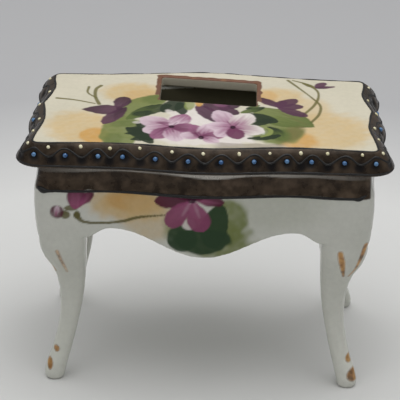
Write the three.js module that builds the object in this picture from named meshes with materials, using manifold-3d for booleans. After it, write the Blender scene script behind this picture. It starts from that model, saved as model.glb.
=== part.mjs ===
// Porcelain trinket box in the form of a small serpentine table: an open box on four cabriole
// legs, and a lift-off lid with a puffed, scalloped rim, enamel jewels and a rectangular opening.
// Millimetres, +Z up. The origin is on the floor, under the middle of the lid.
// +X is to the right along the front, and -Y is the front.
import * as THREE from 'three';
import { mergeVertices } from 'three/addons/utils/BufferGeometryUtils.js';
import Module from 'manifold-3d';

const wasm = await Module();
wasm.setup();

// ---- driving dimensions ----
const PANEL_TOP = 81.8; // flat top of the lid above the floor
const LID_THICKNESS = 3.4;
const LID_TAPER = 0.026; // the lid narrows by this share from its middle to its back edge
const LID_HALF_DEPTH = 28;
const LOBE_SHIFT = 2; // the middle lobe of each side sits this far behind the centre
const PANEL_CORNER = { x: 49.2, y: 29.4, radius: 1.8 };
const PANEL_SIDE = { bayX: 49.6, bayY: 12.7, middleX: 51.5 };
const SEAT_BAY_X = 50.7; // the underside is wider than the panel here, to clear the box's mouth
const BACK_DRAW_IN = 3; // the panel's back corners sit this much further in than its front ones
const RIM_CORNER_X = 48; // where the straight front of the rim turns into the ear
const EAR_TIP = { x: 56.4, y: 25 };
const RIM_SIDE = { notchX: 54, notchY: 12.7, lobeX: 56.1 };
// [share of the way from the panel's edge to the rim's edge, drop below the panel]
const RIM_SECTION = [
  [0, 0], [0.12, 0.12], [0.3, 0.75], [0.5, 1.8], [0.68, 3.1], [0.83, 4.5], [0.94, 5.8],
  [1, 6.8], [0.96, 7.25], [0.86, 7.4], [0.62, 7.3], [0.5, 6.6], [0.36, 4.6], [0.22, 3.4],
];
const UNDERSIDE_FROM = 10; // the level of RIM_SECTION where the underside begins

const OPENING = { halfWidth: 15.3, halfDepth: 9.8, y: 15.1, skew: -0.11, radius: 1.2 };

const BODY_HALF_WIDTH = 52.3;
const BODY_CORNER_RADIUS = 4.5;
const BODY_SIDE_BULGE = 0.8;
const MOUTH_TOP = PANEL_TOP - LID_THICKNESS - 0.2; // 0.2 is the clearance under the resting lid
const RIDGE_Z = 66.4; // the line under the band
const FLOOR_TOP = 57;
const FLOOR_BOTTOM = 54;
const LEG_TOP = 50;
const JOINT_GAP = 0.05; // between a leg and the body, which meet on a flat face
// [height, inset from the widest outline], outside from the apron's foot up to the mouth
const OUTSIDE_LEVELS = [
  [42, 1.8], [46, 1.4], [LEG_TOP, 0.9], [55, 0.3], [61, 0], [65.4, 0.1], [RIDGE_Z, 0.15],
  [67.4, 0.5], [69.5, 1], [72, 1.3], [74.5, 1.6], [MOUTH_TOP - 0.6, 2.2], [MOUTH_TOP, 2.8],
];
const INSIDE_LEVELS = [
  [MOUTH_TOP, 4.2], [MOUTH_TOP - 0.6, 4.8], [FLOOR_TOP + 3, 3.6], [FLOOR_TOP + 0.8, 4.4],
  [FLOOR_TOP, 6.4],
];

const APRON_ARCH = 53.3; // height of the arches beside the apron's middle lobe
const FRONT_LOBE = { drop: 7.9, halfWidth: 28 };
const SIDE_LOBE = { drop: 4, halfWidth: 10 };
const UNDER_HALF_WIDTH = 36.6; // between the corner blocks that the legs stand under
const UNDER_HALF_DEPTH = 13.6;
const APRON_BACK_Y = 26.6; // inner face of the front and back aprons
const APRON_SIDE_X = 48.8; // inner face of the side aprons
const ARCH_SHOULDER = 7.6; // length over which an arch curves down to a leg

// [height, centre x, half width] of a leg from foot to knee
const LEG_STATIONS = [
  [0, 46.3, 2.6], [0.7, 46.35, 3.1], [2.5, 46.2, 3.3], [5.7, 45.4, 3.3], [9, 44.2, 3.05],
  [14, 42.9, 3], [19.5, 41.8, 3.1], [24, 41.3, 3.45], [29, 41.1, 3.9], [34, 41.4, 4.6],
  [38, 42.05, 5.45], [42, 43.1, 6.6], [46, 43.75, 7.35], [LEG_TOP - JOINT_GAP, 43.75, 7.6],
];
const FOOT_LEAN = 19; // centre x less centre y at the foot
const KNEE_LEAN = 21; // and at the knee
const LEG_SIDES = 18;

const JEWEL_RADIUS = 0.75;
const JEWEL_HEIGHT = 0.6;
const JEWEL_GAP = 0.12;
const JEWEL_X = [5.8, 15.8, 24.3, 33, 41.4, 51.6];
const JEWEL_SHARE = 0.7; // how far out across the rim they lie

// ---- colours ----
const PORCELAIN = { color: 0xe9e6dc, roughness: 0.18, metalness: 0 };
const JEWEL_BLUE = { color: 0x5a82af, roughness: 0.2, metalness: 0 };

// ---- outlines ----
const hump = (share) => (share < 1 ? 0.5 * (1 + Math.cos(Math.PI * share)) : 0);
const ramp = (share) => THREE.MathUtils.smoothstep(share, 0, 1);
const vec2 = (x, y) => new THREE.Vector2(x, y);

function panelFront(x) {
  return 28.3 + 2.3 * hump(x / 26) + 1.2 * ramp((x - 30) / 20);
}

function rimFront(x) {
  return 32.1 + 2.3 * hump(x / 28);
}

function bodyFront(x) {
  return 29.8 + 3.8 * hump(x / 28) + 1.6 * ramp((x - 29) / 16);
}

// n points along a curve from share 0 up to, but not including, share 1
function sample(curve, count) {
  return Array.from({ length: count }, (_, i) => curve(i / count));
}

// A run towards a side's middle, whose x follows its own ease from start to end.
function sideRun(x0, y0, x1, y1, ease) {
  return (t) => vec2(x0 + (x1 - x0) * ease(t), y0 + (y1 - y0) * t);
}

// Mirrors a quarter outline, given from the middle of the front (-Y) to the middle of the +X side.
function fourQuarters(quarter, sideMiddle) {
  const frontRight = quarter;
  const backRight = quarter.slice(1).reverse().map((p) => vec2(p.x, -p.y));
  const right = [...frontRight, sideMiddle, ...backRight];
  const backMiddle = vec2(0, -quarter[0].y);
  const left = right.slice(1).reverse().map((p) => vec2(-p.x, p.y));
  return [...right, backMiddle, ...left];
}

// The lid's plan narrows towards the back, and its side lobes sit behind the centre.
function settleOnLid(p) {
  const bend = 1 - Math.min(1, (p.y / LID_HALF_DEPTH) ** 2);
  return vec2(p.x * (1 - LID_TAPER * p.y / LID_HALF_DEPTH), p.y + LOBE_SHIFT * bend);
}

function drawInBackCorner(p) {
  const share = ramp((Math.abs(p.x) - 18) / 32) * ramp((p.y - 14) / 12);
  return vec2(p.x, p.y - BACK_DRAW_IN * share);
}

function lidOutline(bayX) {
  const { x, y, radius } = PANEL_CORNER;
  const { bayY, middleX } = PANEL_SIDE;
  const corner = (t) => vec2(
    x + radius * Math.sin(t * Math.PI / 2),
    -y + radius * (1 - Math.cos(t * Math.PI / 2)),
  );
  const quarter = [
    ...sample((t) => vec2(x * t, -panelFront(x * t)), 20),
    ...sample(corner, 5),
    ...sample(sideRun(x + radius, -y + radius, bayX, -bayY, ramp), 7),
    ...sample(sideRun(bayX, -bayY, middleX, 0, (t) => t ** 1.3), 8),
  ];
  return fourQuarters(quarter, vec2(middleX, 0)).map(settleOnLid);
}

function panelOutline() {
  return lidOutline(PANEL_SIDE.bayX).map(drawInBackCorner);
}

function rimOutline() {
  const { notchX, notchY, lobeX } = RIM_SIDE;
  const startY = -rimFront(RIM_CORNER_X);
  const ear = (t) => vec2(
    RIM_CORNER_X + (EAR_TIP.x - RIM_CORNER_X) * Math.sin(t * Math.PI / 2),
    -EAR_TIP.y + (startY + EAR_TIP.y) * Math.cos(t * Math.PI / 2),
  );
  const lobe = (t) => Math.sin(t * Math.PI / 2);
  const quarter = [
    ...sample((t) => vec2(RIM_CORNER_X * t, -rimFront(RIM_CORNER_X * t)), 20),
    ...sample(ear, 5),
    ...sample(sideRun(EAR_TIP.x, -EAR_TIP.y, notchX, -notchY, (t) => t ** 1.8), 7),
    ...sample(sideRun(notchX, -notchY, lobeX, 0, lobe), 8),
  ];
  return fourQuarters(quarter, vec2(lobeX, 0)).map(settleOnLid);
}

function bodyOutline(inset) {
  const radius = Math.max(BODY_CORNER_RADIUS - inset, 1);
  const cornerX = BODY_HALF_WIDTH - inset - radius;
  const cornerY = bodyFront(cornerX) - inset - radius;
  const side = (y) => BODY_HALF_WIDTH - inset + BODY_SIDE_BULGE * hump(Math.abs(y) / cornerY);
  const corner = (t) => vec2(
    cornerX + radius * Math.sin(t * Math.PI / 2),
    -cornerY - radius * Math.cos(t * Math.PI / 2),
  );
  const quarter = [
    ...sample((t) => vec2(cornerX * t, inset - bodyFront(cornerX * t)), 15),
    ...sample(corner, 5),
    ...sample((t) => vec2(side(cornerY * (1 - t)), -cornerY * (1 - t)), 5),
  ];
  return fourQuarters(quarter, vec2(side(0), 0));
}

// ---- solids ----
function geometryFrom(positions, index) {
  const geometry = new THREE.BufferGeometry();
  geometry.setAttribute('position', new THREE.Float32BufferAttribute(positions, 3));
  geometry.setIndex(index);
  return geometry;
}

// A closed body through rings of equally many points, with a fan on the first and last ring.
// Each ring turns counter-clockwise seen from +Z, and the rings run up the outside.
function loft(rings) {
  const positions = [];
  const index = [];
  const count = rings[0].length;
  for (const p of rings.flat()) positions.push(p.x, p.y, p.z);
  for (let ring = 0; ring < rings.length - 1; ring += 1) {
    for (let i = 0; i < count; i += 1) {
      const a = ring * count + i;
      const b = ring * count + (i + 1) % count;
      index.push(a, b, b + count, a, b + count, a + count);
    }
  }
  const fan = (ring, turned) => {
    const centre = positions.length / 3;
    const middle = ring.reduce((sum, p) => sum.add(p), new THREE.Vector3()).divideScalar(count);
    positions.push(middle.x, middle.y, middle.z);
    const start = rings.indexOf(ring) * count;
    for (let i = 0; i < count; i += 1) {
      const a = start + i;
      const b = start + (i + 1) % count;
      index.push(...(turned ? [centre, b, a] : [centre, a, b]));
    }
  };
  fan(rings[0], true);
  fan(rings[rings.length - 1], false);
  return geometryFrom(positions, index);
}

function atHeight(outline, z) {
  return outline.map((p) => new THREE.Vector3(p.x, p.y, z));
}

function solidFrom(geometry) {
  const bare = geometry.clone();
  bare.deleteAttribute('normal');
  bare.deleteAttribute('uv');
  const merged = mergeVertices(bare, 1e-5);
  return new wasm.Manifold(new wasm.Mesh({
    numProp: 3,
    vertProperties: Float32Array.from(merged.attributes.position.array),
    triVerts: Uint32Array.from(merged.index.array),
  }));
}

function geometryOf(solid) {
  const mesh = solid.getMesh();
  return geometryFrom(Array.from(mesh.vertProperties), Array.from(mesh.triVerts));
}

// An outline drawn in X and Z and pushed along +Y from y0 to y1.
function alongY(points, y0, y1) {
  const shape = new THREE.Shape(points.map((p) => vec2(p.x, p.y)));
  const geometry = new THREE.ExtrudeGeometry(shape, { depth: y1 - y0, bevelEnabled: false });
  geometry.rotateX(Math.PI / 2);
  geometry.translate(0, y1, 0);
  return geometry;
}

function block(x0, x1, y0, y1, z0, z1) {
  const geometry = new THREE.BoxGeometry(x1 - x0, y1 - y0, z1 - z0);
  geometry.translate((x0 + x1) / 2, (y0 + y1) / 2, (z0 + z1) / 2);
  return geometry;
}

function named(name, geometry, finish) {
  const mesh = new THREE.Mesh(geometry, new THREE.MeshStandardMaterial(finish));
  mesh.name = name;
  return mesh;
}

// ---- the open box ----
// Height of the apron's lower edge at a distance from its middle.
function apronEdge(distance, lobe, legAt) {
  const down = ramp((distance - (legAt - ARCH_SHOULDER)) / ARCH_SHOULDER);
  return APRON_ARCH - lobe.drop * hump(distance / lobe.halfWidth) - (APRON_ARCH - LEG_TOP) * down;
}

function underApron(lobe, legAt, reach) {
  const steps = 56;
  const points = [vec2(-reach, LEG_TOP)];
  for (let i = 0; i <= steps; i += 1) {
    const x = legAt * (2 * i / steps - 1);
    points.push(vec2(x, apronEdge(Math.abs(x), lobe, legAt)));
  }
  points.push(vec2(reach, LEG_TOP), vec2(reach, 35), vec2(-reach, 35));
  return points;
}

function boxBody() {
  const rings = [
    ...OUTSIDE_LEVELS.map(([z, inset]) => atHeight(bodyOutline(inset), z)),
    ...INSIDE_LEVELS.map(([z, inset]) => atHeight(bodyOutline(inset), z)),
  ];
  let body = solidFrom(loft(rings));
  const cutters = [
    block(-UNDER_HALF_WIDTH, UNDER_HALF_WIDTH, -APRON_BACK_Y, APRON_BACK_Y, 35, FLOOR_BOTTOM),
    block(-APRON_SIDE_X, APRON_SIDE_X, -UNDER_HALF_DEPTH, UNDER_HALF_DEPTH, 35, FLOOR_BOTTOM),
    alongY(underApron(FRONT_LOBE, UNDER_HALF_WIDTH, 60), -45, -UNDER_HALF_DEPTH),
    alongY(underApron(FRONT_LOBE, UNDER_HALF_WIDTH, 60), UNDER_HALF_DEPTH, 45),
  ];
  for (const side of [-1, 1]) {
    const cutter = alongY(underApron(SIDE_LOBE, UNDER_HALF_DEPTH, UNDER_HALF_DEPTH + 0.1), 40, 60);
    cutter.rotateZ(side * Math.PI / 2);
    cutters.push(cutter);
  }
  for (const cutter of cutters) body = body.subtract(solidFrom(cutter));
  return named('box_body', geometryOf(body), PORCELAIN);
}

// ---- the legs ----
function legSection(centreX, centreY, half, roundness, z) {
  return Array.from({ length: LEG_SIDES }, (_, i) => {
    const angle = 2 * Math.PI * i / LEG_SIDES;
    const c = Math.cos(angle);
    const s = Math.sin(angle);
    const reach = half / (Math.abs(c) ** roundness + Math.abs(s) ** roundness) ** (1 / roundness);
    return new THREE.Vector3(centreX + reach * c, centreY + reach * s, z);
  });
}

function legGeometry(sideX, sideY) {
  const rings = LEG_STATIONS.map(([z, x, half]) => {
    const share = z / LEG_TOP;
    const lean = FOOT_LEAN + (KNEE_LEAN - FOOT_LEAN) * share;
    const roundness = 2.2 + 2.2 * share ** 2;
    return legSection(sideX * x, sideY * (x - lean), half, roundness, z);
  });
  return loft(rings);
}

function legs() {
  const corners = [['front_left', -1, -1], ['front_right', 1, -1], ['back_left', -1, 1], ['back_right', 1, 1]];
  return corners.map(([name, x, y]) => named(`leg_${name}`, legGeometry(x, y), PORCELAIN));
}

// ---- the lid ----
function rimPoint(inner, outer, share, drop) {
  const p = inner.clone().lerp(outer, share);
  return new THREE.Vector3(p.x, p.y, PANEL_TOP - drop);
}

function openingOutline() {
  const { halfWidth, halfDepth, y, skew, radius } = OPENING;
  const points = [];
  for (const [sx, sy, start] of [[1, 1, 0], [-1, 1, 90], [-1, -1, 180], [1, -1, 270]]) {
    for (let i = 0; i <= 4; i += 1) {
      const angle = THREE.MathUtils.degToRad(start + 90 * i / 4);
      const x = sx * (halfWidth - radius) + radius * Math.cos(angle);
      const across = sy * (halfDepth - radius) + radius * Math.sin(angle);
      points.push(vec2(x, y + across + skew * x));
    }
  }
  return points;
}

function lid() {
  const inner = panelOutline();
  const outer = rimOutline();
  const centre = vec2(0, 0);
  const shrunk = (share) => inner.map((p) => p.clone().lerp(centre, share));
  const seat = lidOutline(SEAT_BAY_X);
  const rim = RIM_SECTION.map(([share, drop], level) => (
    (level < UNDERSIDE_FROM ? inner : seat).map((p, i) => rimPoint(p, outer[i], share, drop))
  ));
  const rings = [
    atHeight(shrunk(0.5), PANEL_TOP - LID_THICKNESS),
    ...rim.slice().reverse(),
    atHeight(shrunk(0.5), PANEL_TOP),
  ];
  const opening = new THREE.ExtrudeGeometry(
    new THREE.Shape(openingOutline()),
    { depth: 3 * LID_THICKNESS, bevelEnabled: false },
  );
  opening.translate(0, 0, PANEL_TOP - 2 * LID_THICKNESS);
  const solid = solidFrom(loft(rings)).subtract(solidFrom(opening));
  return named('lid', geometryOf(solid), PORCELAIN);
}

// A flattened dome, resting just clear of the rim at a place along its outline.
function jewel(name, inner, outer, place) {
  const count = inner.length;
  const at = (along, share) => {
    const i = Math.floor(along);
    const next = (i + 1) % count;
    const a = inner[i % count].clone().lerp(inner[next], along - i);
    const b = outer[i % count].clone().lerp(outer[next], along - i);
    const level = RIM_SECTION.findIndex(([s]) => s > share);
    const [s0, d0] = RIM_SECTION[level - 1];
    const [s1, d1] = RIM_SECTION[level];
    return rimPoint(a, b, share, d0 + (d1 - d0) * (share - s0) / (s1 - s0));
  };
  const point = at(place, JEWEL_SHARE);
  const across = at(place, JEWEL_SHARE + 0.04).sub(at(place, JEWEL_SHARE - 0.04));
  const along = at(place + 0.5, JEWEL_SHARE).sub(at(place - 0.5, JEWEL_SHARE));
  const normal = across.cross(along).normalize();
  const steps = 4;
  const profile = [vec2(0, 0), vec2(JEWEL_RADIUS, 0)];
  for (let i = 1; i < steps; i += 1) {
    const angle = Math.PI / 2 * i / steps;
    profile.push(vec2(JEWEL_RADIUS * Math.cos(angle), JEWEL_HEIGHT * Math.sin(angle)));
  }
  profile.push(vec2(0, JEWEL_HEIGHT));
  const mesh = named(name, new THREE.LatheGeometry(profile, 10), JEWEL_BLUE);
  mesh.quaternion.setFromUnitVectors(new THREE.Vector3(0, 1, 0), normal);
  mesh.position.copy(point.addScaledVector(normal, JEWEL_GAP));
  return mesh;
}

// The place along the outline of the point nearest to a target in plan.
function placeNear(outline, target) {
  let best = 0;
  outline.forEach((p, i) => {
    if (p.distanceTo(target) < outline[best].distanceTo(target)) best = i;
  });
  return best;
}

function jewels() {
  const inner = panelOutline();
  const outer = rimOutline();
  const meshes = [];
  for (const [side, sign] of [['front', -1], ['back', 1]]) {
    const xs = [...JEWEL_X.map((x) => -x).reverse(), ...JEWEL_X];
    const targets = xs.map((x) => vec2(x, sign * rimFront(Math.abs(x))));
    targets.forEach((target, i) => {
      const name = `jewel_${side}_${String(i + 1).padStart(2, '0')}`;
      meshes.push(jewel(name, inner, outer, placeNear(outer, target)));
    });
  }
  for (const [side, sign] of [['left', -1], ['right', 1]]) {
    [-1, 1].forEach((end, i) => {
      const target = vec2(sign * RIM_SIDE.lobeX, end * RIM_SIDE.notchY / 2 + LOBE_SHIFT);
      meshes.push(jewel(`jewel_${side}_${i + 1}`, inner, outer, placeNear(outer, target)));
    });
  }
  return meshes;
}

// ---- assembly ----
const box = new THREE.Group();
box.add(boxBody(), ...legs());

const cover = new THREE.Group();
cover.add(lid(), ...jewels());

const trinketBox = new THREE.Group();
trinketBox.add(box, cover);

export default trinketBox;
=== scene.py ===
"""Porcelain trinket box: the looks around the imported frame.

Painting and enamel are laid out in millimetres, as are names ending in _MM; Blender works in metres.
"""
import math

import bmesh
import bpy
import numpy as np
from mathutils import Matrix, Vector
from mathutils.bvhtree import BVHTree
from mathutils.geometry import delaunay_2d_cdt
from mathutils.kdtree import KDTree


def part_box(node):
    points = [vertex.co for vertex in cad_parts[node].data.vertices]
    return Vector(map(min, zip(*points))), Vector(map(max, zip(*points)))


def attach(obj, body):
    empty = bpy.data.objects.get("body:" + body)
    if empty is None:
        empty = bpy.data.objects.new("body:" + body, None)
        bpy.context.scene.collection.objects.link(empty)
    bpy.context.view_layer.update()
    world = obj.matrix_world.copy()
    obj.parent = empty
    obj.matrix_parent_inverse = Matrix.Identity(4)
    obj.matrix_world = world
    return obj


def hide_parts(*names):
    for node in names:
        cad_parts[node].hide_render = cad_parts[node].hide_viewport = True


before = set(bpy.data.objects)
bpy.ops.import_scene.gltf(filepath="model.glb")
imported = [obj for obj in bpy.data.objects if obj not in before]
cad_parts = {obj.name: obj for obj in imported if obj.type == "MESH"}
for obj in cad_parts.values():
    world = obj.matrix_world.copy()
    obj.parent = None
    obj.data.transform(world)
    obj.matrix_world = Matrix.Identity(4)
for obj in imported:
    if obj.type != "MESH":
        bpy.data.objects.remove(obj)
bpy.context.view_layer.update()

MM = 0.001
SCENE = bpy.context.scene

# ---- camera ----
CAMERA_DISTANCE = 0.732
CAMERA_PITCH = math.radians(25)
CAMERA_YAW = math.radians(1.14)
CAMERA_ROLL = math.radians(1.15)
CAMERA_LENS = 206
CAMERA_TARGET = Vector((-0.0018, 0, 0.0503))

# ---- sizes of the lid and box, as in the frame ----
PANEL_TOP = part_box("lid")[1][2]
LID_THICKNESS = 3.4 * MM
OPENING = {"half_x": 15.3, "half_y": 9.8, "y": 15.1, "skew": -0.11, "radius": 1.2}  # millimetres
RIM_LEVELS_MM = [0, 0.12, 0.75, 1.8, 3.1, 4.5, 5.8, 6.8, 7.25, 7.4, 7.3, 6.6, 4.6, 3.4]
RIM_SHARES = [0, 0.12, 0.3, 0.5, 0.68, 0.83, 0.94, 1]  # of the rim's width, at the first levels
RIM_FINE = 6  # points along the rim for each of the frame's
RIM_ACROSS = 5  # points across the rim for each level of the frame
RIDGE_MM = 66.4
MOUTH_MM = 78.2
OUTER_FACE_MM = 25.5  # the painted front and back faces lie further out than this
BAND_HALF_MM = 51.4
BAND_MIDDLE_MM = -0.4
BAND_SHEEN_FROM_MM = 72.3  # above this height the band's lustre gives way to a pale streak: painted reflection along the band's top, over paler glaze there
RIDGE_LINE_MM = (-51.2, 49.8)
LEG_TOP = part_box("leg_front_left")[1][2]
KNEE_REACH = 5  # millimetres above and below a leg's top over which the joint is smoothed
KNEE_INNER = 37  # and no nearer to the middle than this

# ---- the hand-laid enamel, millimetres ----
CREST_SPACING = 9.5  # of the scroll line's waves, where no jewel sets them
CREST_SHARE = 0.44
TROUGH_SHARE = 0.76
CREAM_SHARE = 0.36
HOLLOW_SHARE = 0.76
HOLLOW_DEPTH = 0.5
HOLLOW_ALONG = 1.5
HOLLOW_ACROSS = 1.7
HOLLOW_DARK = 1.7  # reach of the near-black laid round the middle of each hollow
JEWEL_NODES = [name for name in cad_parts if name.startswith("jewel_")]
JEWEL_RADIUS = 0.7
JEWEL_HEIGHT = 0.62
CREAM_RADIUS = 0.56
FRAME_NARROWS = -6  # the opening's painted frame is thin in front of this, from the opening's middle
STEM_SPREAD = 0.15  # how much wider each stem is than its drawn half width


def paint(red, green, blue):
    """A screen colour, 0 to 255, as the linear light that Blender mixes."""
    share = np.array((red, green, blue)) / 255
    return np.where(share <= 0.04045, share / 12.92, ((share + 0.055) / 1.055) ** 2.4)


# ---- the painter's palette ----
CREAM_GLAZE = paint(208, 201, 181)
WHITE_GLAZE = paint(211, 211, 202)
FLOWER_WHITE = paint(222, 214, 208)
PEACH = paint(207, 180, 132)
ORANGE = paint(203, 154, 80)
VIOLET = paint(88, 52, 74)
VIOLET_DEEP = paint(62, 32, 52)
MAUVE = paint(150, 96, 126)
MAUVE_PALE = paint(210, 188, 198)
MAUVE_DEEP = paint(106, 50, 82)
EYE = paint(52, 12, 38)
GREEN_PALE = paint(118, 127, 70)
GREEN = paint(92, 106, 52)
GREEN_DARK = paint(34, 48, 28)
GREEN_LEAF = paint(42, 66, 40)
# painted shade: the box's white inner walls and floor are painted this dark olive-grey
INSIDE_SHADE = paint(104, 100, 80)
OLIVE = paint(108, 102, 58)
MAGENTA = paint(150, 76, 112)
MAGENTA_DEEP = paint(84, 22, 50)
TAUPE = paint(120, 104, 90)
FRAME_BROWN = paint(112, 78, 64)
# near-black laid in the lid rim's hollows; on the box, the pale colour of the painted reflection along the
# band's top
HOLLOW_AND_SHEEN_COLOUR = {"lid_glaze": paint(14, 12, 14), "box_glaze": paint(212, 207, 197)}
BRONZE_TONE = {"lid_glaze": 1, "box_glaze": 1.4}  # the band's lustre is thinner and paler than the rim's
# painted pool of light on the floor: lighter near the middle, darker further out
BACKDROP_LIT_NEAR = paint(213, 213, 211)
BACKDROP_DIMMED_FAR = paint(180, 180, 181)
FLOOR_REACH = 4  # metres from the middle to each edge


# ---- small helpers ----
def unique_points(node):
    """The different corner positions of a CAD node."""
    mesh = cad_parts[node].data
    points = np.empty(len(mesh.vertices) * 3, np.float32)
    mesh.vertices.foreach_get("co", points)
    return np.unique(points.reshape(-1, 3).round(7), axis=0).astype(float)


def around(points):
    """Angle of each point in plan, from the middle of the front and turning through +X."""
    angle = np.arctan2(points[:, 1], points[:, 0]) + math.pi / 2
    return np.mod(angle + 1e-6, 2 * math.pi) - 1e-6


def ring_at(points, z):
    """The outline that the lid's points make at one height, in order round it."""
    level = points[np.abs(points[:, 2] - z) < 5e-6]
    angle, radius = around(level), np.hypot(level[:, 0], level[:, 1])
    edge_angle, edge_radius = coarse_edge(points)
    level = level[radius > 0.96 * np.interp(angle, edge_angle, edge_radius, period=2 * math.pi)]
    return level[np.argsort(around(level))]


def coarse_edge(points):
    """The lid's reach in plan, by angle, from the level just under the panel's edge."""
    level = points[np.abs(points[:, 2] - PANEL_TOP + RIM_LEVELS_MM[1] * MM) < 5e-6]
    order = np.argsort(around(level))
    return around(level)[order], np.hypot(level[:, 0], level[:, 1])[order]


def finer_loop(loop, factor):
    """A closed loop with factor times as many points, on a smooth curve through the given ones."""
    before, after, beyond = np.roll(loop, 1, 0), np.roll(loop, -1, 0), np.roll(loop, -2, 0)
    parts = [catmull(before, loop, after, beyond, k / factor) for k in range(factor)]
    return np.stack(parts, 1).reshape(-1, loop.shape[1])


def catmull(p0, p1, p2, p3, t):
    square = 2 * p0 - 5 * p1 + 4 * p2 - p3
    cube = 3 * p1 - p0 - 3 * p2 + p3
    return 0.5 * (2 * p1 + (p2 - p0) * t + square * t * t + cube * t ** 3)


def new_object(name, points, faces, smooth=True):
    mesh = bpy.data.meshes.new(name)
    mesh.from_pydata([tuple(p) for p in points], [], [tuple(f) for f in faces])
    mesh.validate()
    piece = bpy.data.objects.new(name, mesh)
    SCENE.collection.objects.link(piece)
    if smooth:
        mesh.shade_smooth()
    return piece


def points_of(piece):
    points = np.empty(len(piece.data.vertices) * 3)
    piece.data.vertices.foreach_get("co", points)
    return points.reshape(-1, 3)


def strip(first, second, count):
    """Quads between two closed loops of the same count, given by their first point numbers."""
    return [
        (first + i, first + (i + 1) % count, second + (i + 1) % count, second + i) for i in range(count)
    ]


# ---- the lid's mesh ----
def opening_loop(grow_mm, per_corner=10, per_side=40):
    """The opening's outline in plan, grown outwards by grow_mm, in metres."""
    half_x, half_y = OPENING["half_x"] + grow_mm, OPENING["half_y"] + grow_mm
    radius = OPENING["radius"] + max(grow_mm, 0)
    loop = []
    for sx, sy, start in ((1, 1, 0), (-1, 1, 90), (-1, -1, 180), (1, -1, 270)):
        centre = np.array((sx * (half_x - radius), sy * (half_y - radius)))
        for i in range(per_corner):
            angle = math.radians(start + 90 * i / (per_corner - 1))
            loop.append(centre + radius * np.array((math.cos(angle), math.sin(angle))))
        end = loop[-1]
        turn = start + 90
        nx, ny = {90: (-1, 1), 180: (-1, -1), 270: (1, -1), 360: (1, 1)}[turn]
        following = np.array((nx * (half_x - radius), ny * (half_y - radius)))
        facing = math.radians(turn)
        following = following + radius * np.array((math.cos(facing), math.sin(facing)))
        for i in range(1, per_side):
            loop.append(end + (following - end) * i / per_side)
    loop = np.array(loop)
    loop[:, 1] += OPENING["y"] + OPENING["skew"] * loop[:, 0]
    return loop * MM


def filled(outer, hole, spacing):
    """Points and triangles that fill the plan between an outer loop and a hole, on a grid of a spacing."""
    low, high = outer.min(0), outer.max(0)
    inner_points = np.zeros((0, 2))
    if spacing:
        xs = np.arange(low[0], high[0], spacing)
        ys = np.arange(low[1], high[1], spacing * 0.866)
        grid = np.array([(x + (j % 2) * spacing / 2, y) for j, y in enumerate(ys) for x in xs])
        keep = inside(outer, grid) & ~inside(hole, grid)
        keep &= distance_to_loop(outer, grid) > 0.5 * spacing
        keep &= distance_to_loop(hole, grid) > 0.5 * spacing
        inner_points = grid[keep]
    points = np.concatenate([outer, hole, inner_points])
    loops = [list(range(len(outer))), list(range(len(outer), len(outer) + len(hole)))]
    edges = [(loop[i], loop[(i + 1) % len(loop)]) for loop in loops for i in range(len(loop))]
    coords, _, faces, _, _, _ = delaunay_2d_cdt([Vector(p) for p in points], edges, [], 0, 1e-9)
    coords = np.array([tuple(c) for c in coords])
    faces = np.array(faces)
    middle = coords[faces].mean(1)
    return coords, faces[inside(outer, middle) & ~inside(hole, middle)]


def inside(loop, points):
    """Which points lie inside a loop, by the even-odd rule."""
    found = np.zeros(len(points), bool)
    a, b = loop, np.roll(loop, -1, 0)
    for (ax, ay), (bx, by) in zip(a, b):
        crosses = (ay > points[:, 1]) != (by > points[:, 1])
        if crosses.any() and ay != by:
            found ^= crosses & (points[:, 0] < (bx - ax) * (points[:, 1] - ay) / (by - ay) + ax)
    return found


def distance_to_loop(loop, points):
    tree = KDTree(len(loop))
    for i, p in enumerate(loop):
        tree.insert((p[0], p[1], 0), i)
    tree.balance()
    return np.array([tree.find((p[0], p[1], 0))[2] for p in points])


def rim_grid():
    """The rim's surface as [level, place, xyz], smooth both ways, from the panel's edge to the underside."""
    points = unique_points("lid")
    rings = [ring_at(points, PANEL_TOP - drop * MM) for drop in RIM_LEVELS_MM]
    rings = np.array([finer_loop(ring, RIM_FINE) for ring in rings])
    first, last = rings[0] * 2 - rings[1], rings[-1] * 2 - rings[-2]
    padded = np.concatenate([first[None], rings, last[None]])
    grid = []
    for level in range(len(rings) - 1):
        for k in range(RIM_ACROSS):
            grid.append(catmull(*padded[level:level + 4], k / RIM_ACROSS))
    grid.append(rings[-1])
    return np.array(grid)


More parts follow.
